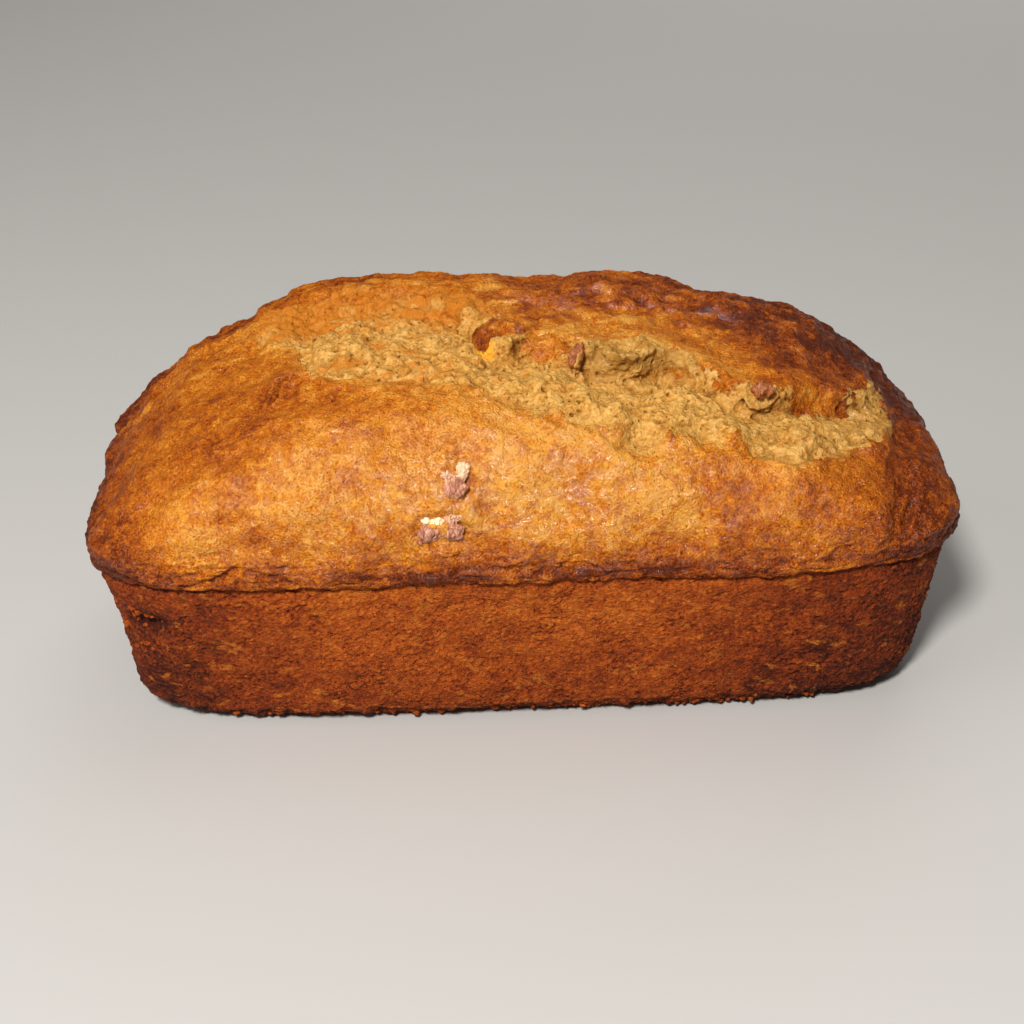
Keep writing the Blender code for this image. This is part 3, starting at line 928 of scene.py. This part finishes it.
def tin_crust():
    """Dull, coarse crust that baked against the tin, with painted shade in its hollows, in its pits and
    towards its ends.
    """
    material, tree, shader = new_material("tin_crust")
    place = put(tree, "ShaderNodeTexCoord").outputs["Object"]
    baked, hollow_and_shade = attribute(tree, "baked"), attribute(tree, "hollow_and_shade")
    layers = stretched(tree, place, (1, 1, 1.15))
    broad = cloud(tree, place, 13 * MM, 3)
    patches = cloud(tree, layers, 4.6 * MM, 5, 0.62, 0.5)
    dots, grain = pits(tree, layers, 1.5 * MM, 0.75 * MM, 0.42)
    # Painted shade in the side's tone: darker in hollows and pits, over its baked tone and random grain.
    tone = add(tree, baked, uneven(tree, broad, -0.10, 0.10), uneven(tree, patches, -0.20, 0.20),
               uneven(tree, grain, -0.17, 0.17), spread(tree, hollow_and_shade, -0.15, 0.3, -0.10, 0.30),
               calc(tree, "MULTIPLY", dots, 0.16))
    colour = colour_steps(tree, tone, ((0.0, SIDE_FLECK), (0.3, SIDE_ORANGE), (0.64, SIDE_BROWN),
                                       (1.0, SIDE_DARK)))
    flake = cloud(tree, stretched(tree, place, (0.8, 0.8, 1.2)), 3.6 * MM, 3, 0.5, 0.4)
    flakes = calc(tree, "MULTIPLY", spread(tree, flake, 0.60, 0.68), spread(tree, grain, 0.35, 0.6, 0.3, 0.8))
    tree.links.new(blend(tree, flakes, colour, SIDE_FLECK), shader.inputs["Base Color"])
    glint = cloud(tree, place, 0.55 * MM, 2)
    tree.links.new(spread(tree, glint, 0.60, 0.72, 0.80, 0.38), shader.inputs["Roughness"])
    shader.inputs["IOR"].default_value = 1.25
    height = add(tree, calc(tree, "MULTIPLY", grain, 0.9), calc(tree, "MULTIPLY", dots, -0.5),
                 calc(tree, "MULTIPLY", flakes, 0.15))
    bumped = put(tree, "ShaderNodeBump", {"Strength": 1.0, "Distance": 1.6 * MM, "Height": height})
    tree.links.new(bumped.outputs["Normal"], shader.inputs["Normal"])
    return material


NUT_RED = (0.20, 0.040, 0.008)
NUT_ORANGE = (0.46, 0.150, 0.035)
SKIN_BROWN = (0.27, 0.080, 0.040)
SKIN_PINK = (0.68, 0.33, 0.20)
NUT_PINK = (0.80, 0.46, 0.27)
NUT_CREAM = (0.92, 0.74, 0.46)
NUT_CREVICE_SHADE = (0.12, 0.032, 0.012)


def walnut_material():
    """Ribbed purple-brown walnut skin, with pink and cream flesh where it is broken."""
    material, tree, shader = new_material("walnut")
    place = put(tree, "ShaderNodeTexCoord").outputs["Object"]
    flesh, hollow_and_shade = attribute(tree, "flesh"), attribute(tree, "hollow_and_shade")
    turned = put(tree, "ShaderNodeMapping", {"Vector": place, "Rotation": (0, math.radians(38), 0),
                                             "Scale": (2.6, 1.0, 0.6)}).outputs["Vector"]
    ribs = cloud(tree, turned, 0.9 * MM, 4, 0.6, 0.8)
    skin = blend(tree, spread(tree, ribs, 0.38, 0.66), SKIN_BROWN, SKIN_PINK)
    baked = blend(tree, spread(tree, ribs, 0.38, 0.66), NUT_RED, NUT_ORANGE)
    skin = blend(tree, spread(tree, flesh, -0.25, -0.1, 1.0, 0.0), skin, baked)
    blotch = calc(tree, "ADD", flesh, uneven(tree, ribs, -0.22, 0.22))
    colour = blend(tree, spread(tree, blotch, 0.30, 0.55), skin, NUT_PINK)
    colour = blend(tree, spread(tree, blotch, 0.68, 0.90), colour, NUT_CREAM)
    # Painted shade in the walnut's crevices.
    colour = blend(tree, spread(tree, hollow_and_shade, 0.02, 0.25, 0.0, 0.75), colour, NUT_CREVICE_SHADE)
    tree.links.new(colour, shader.inputs["Base Color"])
    tree.links.new(uneven(tree, ribs, 0.35, 0.6), shader.inputs["Roughness"])
    shader.inputs["Coat Weight"].default_value = 0.2
    shader.inputs["Coat Roughness"].default_value = 0.25
    bumped = put(tree, "ShaderNodeBump", {"Strength": 0.6, "Distance": 0.3 * MM, "Height": ribs})
    tree.links.new(bumped.outputs["Normal"], shader.inputs["Normal"])
    return material


# Walnuts

# Lumps of each piece in mm, as (middle, radii, turns in degrees, flesh)
# Flesh is below 0 on baked skin, 0 on purple-brown skin, 0.5 on pink flesh and 1 on cream flesh
NUT_LUMPS = {
    "walnut_low": (
        ((-24.2, -58.3, 60.6), (3.6, 1.6, 2.8), (10, 0, 8), 0.0),
        ((-19.0, -58.3, 60.9), (3.4, 1.6, 2.9), (10, 0, -6), 0.05),
        ((-23.4, -58.2, 63.9), (3.2, 1.5, 1.2), (20, 8, 0), 1.0),
        ((-18.6, -57.9, 64.3), (3.0, 1.4, 1.4), (20, -16, 0), 0.5),
        ((-16.6, -57.9, 65.3), (0.8, 0.8, 0.6), (0, 0, 0), 0.95),
        ((-27.0, -58.8, 58.3), (0.9, 0.6, 0.7), (0, 0, 0), -0.3),
    ),
    "walnut_high": (
        ((-15.5, -55.3, 75.0), (1.9, 1.5, 2.7), (-25, 10, 0), 0.68),
        ((-19.4, -56.1, 74.2), (1.9, 1.3, 1.5), (-25, 25, 0), 0.45),
        ((-17.8, -57.2, 71.4), (3.4, 1.7, 2.6), (-22, -8, 0), 0.16),
    ),
    "walnut_split": (
        ((15.0, -18.8, 91.4), (1.3, 2.0, 1.9), (0, 25, 20), -0.3),
        ((14.1, -20.0, 90.3), (1.7, 2.2, 2.0), (15, 15, 20), -0.3),
        ((13.0, -21.2, 89.2), (1.4, 2.0, 1.9), (30, 0, 20), -0.3),
    ),
    "walnut_crumb": (
        ((58.9, -31.0, 83.5), (1.5, 2.3, 1.6), (0, 0, 15), -0.25),
        ((60.4, -30.9, 84.3), (1.7, 2.2, 1.4), (0, 15, 0), -0.25),
        ((62.0, -30.7, 83.6), (1.4, 2.1, 1.7), (0, 20, 0), -0.25),
    ),
}


def fit_between(obj, low, high):
    """Shrinks a piece about the middle of a box until it fits in the box."""
    places = points(obj)
    low, high = np.array(low), np.array(high)
    own_low, own_high = places.min(axis=0), places.max(axis=0)
    share = np.minimum(1, (high - low) / (own_high - own_low))
    middle = (own_low + own_high) / 2
    half = (own_high - own_low) * share / 2
    target = np.clip(middle, low + half, high - half)
    set_points(obj, target + (places - middle) * share)


def make_walnut(node, material):
    """A piece of broken walnut: lumps run together, ribbed skin below and broken flesh on top."""
    lumps = []
    for middle, radii, turns, _ in NUT_LUMPS[node]:
        bpy.ops.mesh.primitive_ico_sphere_add(subdivisions=4, radius=MM, location=(0, 0, 0))
        lump = bpy.context.active_object
        turn = Matrix.Identity(4)
        for axis, degrees in zip("XYZ", turns):
            turn = Matrix.Rotation(math.radians(degrees), 4, axis) @ turn
        lump.data.transform(Matrix.Translation(Vector(middle) * MM) @ turn @ Matrix.Diagonal((*radii, 1)))
        lumps.append(lump)
    only(*lumps)
    bpy.ops.object.join()
    nut = bpy.context.view_layer.objects.active
    nut.name = nut.data.name = node + "_piece"
    remesh(nut, NUT_VOXEL)
    modify(nut, "SMOOTH", factor=0.5, iterations=2)
    mm = points(nut) / MM
    push(nut, 0.7 * clouds(mm, (1.9, 1.9, 2.6), 2, 71) - 0.45 * cracks(mm, (1.6, 1.6, 3.0), 0.16, 72))
    mm = points(nut) / MM
    away = [np.linalg.norm((mm - middle) / radii, axis=1) for middle, radii, _, _ in NUT_LUMPS[node]]
    flesh = np.array([lump[3] for lump in NUT_LUMPS[node]])[np.stack(away).argmin(axis=0)]
    fit_between(nut, *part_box(node))
    nut.data.shade_smooth()
    field(nut, "flesh", flesh)
    field(nut, "hollow_and_shade", hollows(nut, 10))
    nut.data.materials.clear()
    nut.data.materials.append(material)
    return nut


# Crumbs

# Boxes in mm that hold the skin where crumbs cling, each with how many
CRUMB_ZONES = (
    (((-95, -60, 0.2), (92, -45, 2.6)), 60),
    (((-95, 45, 0.2), (92, 60, 2.6)), 40),
    (((-112, -52, 22), (-92, -40, 36)), 22),
    (((-112, -40, 56), (-98, -10, 72)), 3),
)
CRUMB_RADII = (0.35, 1.0)
CRUMB_STRETCH = (0.7, 1.3)
CRUMB_TONE = 0.45


def crumb_places(skin, rng):
    """Places on the skin where loose crumbs cling, in mm: the base's edge, the pit and the left end."""
    mm = skin / MM
    spots = []
    for zone, count in CRUMB_ZONES:
        found = mm[(mm > zone[0]).all(axis=1) & (mm < zone[1]).all(axis=1)]
        spots.append(found[rng.integers(0, len(found), count)])
    return np.vstack(spots)


def make_crumbs(skin, material):
    """Loose crumbs that cling to the loaf."""
    rng = np.random.default_rng(7)
    grains = []
    for spot in crumb_places(skin, rng):
        size = rng.uniform(*CRUMB_RADII) * MM
        bpy.ops.mesh.primitive_ico_sphere_add(subdivisions=2, radius=size, location=(0, 0, 0))
        grain = bpy.context.active_object
        shape = Matrix.Diagonal((*rng.uniform(*CRUMB_STRETCH, 3), 1))
        grain.data.transform(Matrix.Translation(Vector(spot) * MM) @ shape)
        grains.append(grain)
    only(*grains)
    bpy.ops.object.join()
    crumbs = bpy.context.view_layer.objects.active
    crumbs.name = crumbs.data.name = "loose_crumbs"
    mm = points(crumbs) / MM
    push(crumbs, 0.35 * clouds(mm, 0.8, 2, 81))
    places = points(crumbs)
    places[:, 2] = np.maximum(places[:, 2], 0)
    set_points(crumbs, places)
    crumbs.data.shade_smooth()
    field(crumbs, "baked", np.full(len(places), CRUMB_TONE))
    field(crumbs, "hollow_and_shade", np.zeros(len(places)))
    crumbs.data.materials.append(material)
    return crumbs


# Stage

def make_stage():
    bpy.ops.mesh.primitive_plane_add(size=FLOOR_SIZE, location=(0, 0, -FLOOR_DROP))
    floor = bpy.context.active_object
    floor.name = "floor"
    material, _, shader = new_material("pale_floor")
    shader.inputs["Base Color"].default_value = (*FLOOR_COLOUR, 1)
    shader.inputs["Roughness"].default_value = 0.85
    floor.data.materials.append(material)


def add_light(name, place, size, power, colour, glints):
    data = bpy.data.lights.new(name, "AREA")
    data.shape = "DISK"
    data.size = size
    data.energy = power
    data.color = colour
    lamp = bpy.data.objects.new(name, data)
    lamp.location = place
    lamp.visible_glossy = glints
    lamp.rotation_euler = (Vector(LIGHT_AIM) - Vector(place)).to_track_quat("-Z", "Y").to_euler()
    bpy.context.scene.collection.objects.link(lamp)


def light_scene():
    for light in LIGHTS:
        add_light(*light)
    world = bpy.data.worlds.new("soft_room")
    bpy.context.scene.world = world
    world.use_nodes = True
    background = world.node_tree.nodes["Background"]
    background.inputs["Color"].default_value = (*ROOM_COLOUR, 1)
    background.inputs["Strength"].default_value = ROOM_STRENGTH
    bpy.context.scene.view_settings.view_transform = "Standard"


def place_camera():
    data = bpy.data.cameras.new("camera")
    data.lens = CAMERA_LENS
    camera = bpy.data.objects.new("camera", data)
    turn = Matrix.Rotation(CAMERA_TURN, 4, "Z") @ Matrix.Rotation(math.pi / 2 - CAMERA_RISE, 4, "X")
    camera.matrix_world = Matrix.Translation(CAMERA_PLACE) @ turn @ Matrix.Rotation(CAMERA_ROLL, 4, "Z")
    bpy.context.scene.collection.objects.link(camera)
    bpy.context.scene.camera = camera


def colour_fields(loaf):
    """Gives the skin the values that its materials read: where it is torn, baked, damp and glazed, and how
    deep it lies in hollows. Several of these values also carry painted shade and light.
    """
    mm = points(loaf) / MM
    x, y, z = mm.T
    split = Split(mm)
    crumb = split.crumb()
    above = z - rim_height(mm)
    top = ramp(above, -0.5, 0.5)
    # Tone of the tin side: darker towards the bottom and at the foot, lighter at the back, and darker at both
    # ends, partly its own colour and partly painted shade where the light falls off. Painted shade darkens
    # the rim groove and the corner pit.
    side_tone_and_shade = 0.34 + 0.22 * (1 - ramp(z, 0, 42)) + 0.36 * ramp(x, 25, 90) + 0.32 * ramp(-x, 50, 96)
    side_tone_and_shade -= 0.2 * ramp(y, 30, 50)
    side_tone_and_shade += 0.2 * np.exp(-(above / 1.2) ** 2) + 0.2 * (1 - ramp(z, 1, 6))
    side_tone_and_shade += 0.5 * bump(mm, CORNER_PIT, (6, 6, 4))
    field(loaf, "torn", crumb + 0.35 * bump(mm, (-77, -57.8, 55), (7, 5, 4)))
    # The baked value holds the crust's colour on top and the side's tone below, and both carry painted shade
    # and light in places.
    field(loaf, "baked", top * browning_and_painted_light(mm, split) + (1 - top) * side_tone_and_shade)
    field(loaf, "toast", toasting(mm, split))
    # Olive damp crumb: real moisture, plus painted shade in the caves under the back crust, in a band along
    # its torn edge and towards the right end.
    wet_and_shade = 0.9 * bump(mm, (24, -21, 89), (9, 5, 5)) + 0.8 * bump(mm, (38, -17, 85), (9, 5, 4))
    wet_and_shade += 0.30 * ramp(x, 40, 60) * np.exp(-((split.before - 4) / 4) ** 2) * (0.5 + clouds(mm, 7, 2, 62))
    wet_and_shade += ramp(x, 40, 85) * (0.30 + 0.35 * clouds(mm, 8, 2, 63)) + 0.12
    field(loaf, "wet_and_shade", np.clip(wet_and_shade, 0, 1))
    field(loaf, "lemon", ramp(bump(mm, (-9.2, -11.5, 88.3), (3.8, 3.2, 3.6)), 0.3, 0.6))
    glaze = 0.30 + 0.70 * bump(mm, (-4, -56, 72), (62, 22, 18))
    glaze += 0.15 * np.exp(-((above - 3) / 3) ** 2) + 0.5 * ramp(x, -20, 0) * ramp(y, -25, 0)
    glaze *= (1 - 0.7 * ramp(y, 24, 40)) * (1 - 0.6 * bump(z, 46, 4))
    field(loaf, "glaze", np.clip(glaze, 0, 1))
    # Painted shade: the depth below the smoothed surface darkens the materials in hollows, and the dark hole
    # and the dent beside it get extra painted shade.
    hole_shade = 0.5 * bump(mm, (0, -10.5, 90), (2.8, 2.2, 3.5)) + 0.3 * bump(mm, (-12, -22, 89), (2.4, 2, 3))
    field(loaf, "hollow_and_shade", hollows(loaf, 14) + hole_shade)


loaf = rough_form()
fine_form(loaf)
fit_in_box(loaf, loaf_low, loaf_high)
colour_fields(loaf)
skin = points(loaf)
top_material, side_material, nut_material = crust_and_crumb(), tin_crust(), walnut_material()
for piece in cut_skin(loaf):
    piece.data.materials.append(side_material if piece.name.startswith(("tin", "under")) else top_material)
    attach(piece, "root")
    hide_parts("loaf")
for node in WALNUTS:
    nut = make_walnut(node, nut_material)
    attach(nut, "root")
    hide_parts(node)
crumbs = make_crumbs(skin, side_material)
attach(crumbs, "root")
make_stage()
light_scene()
place_camera()
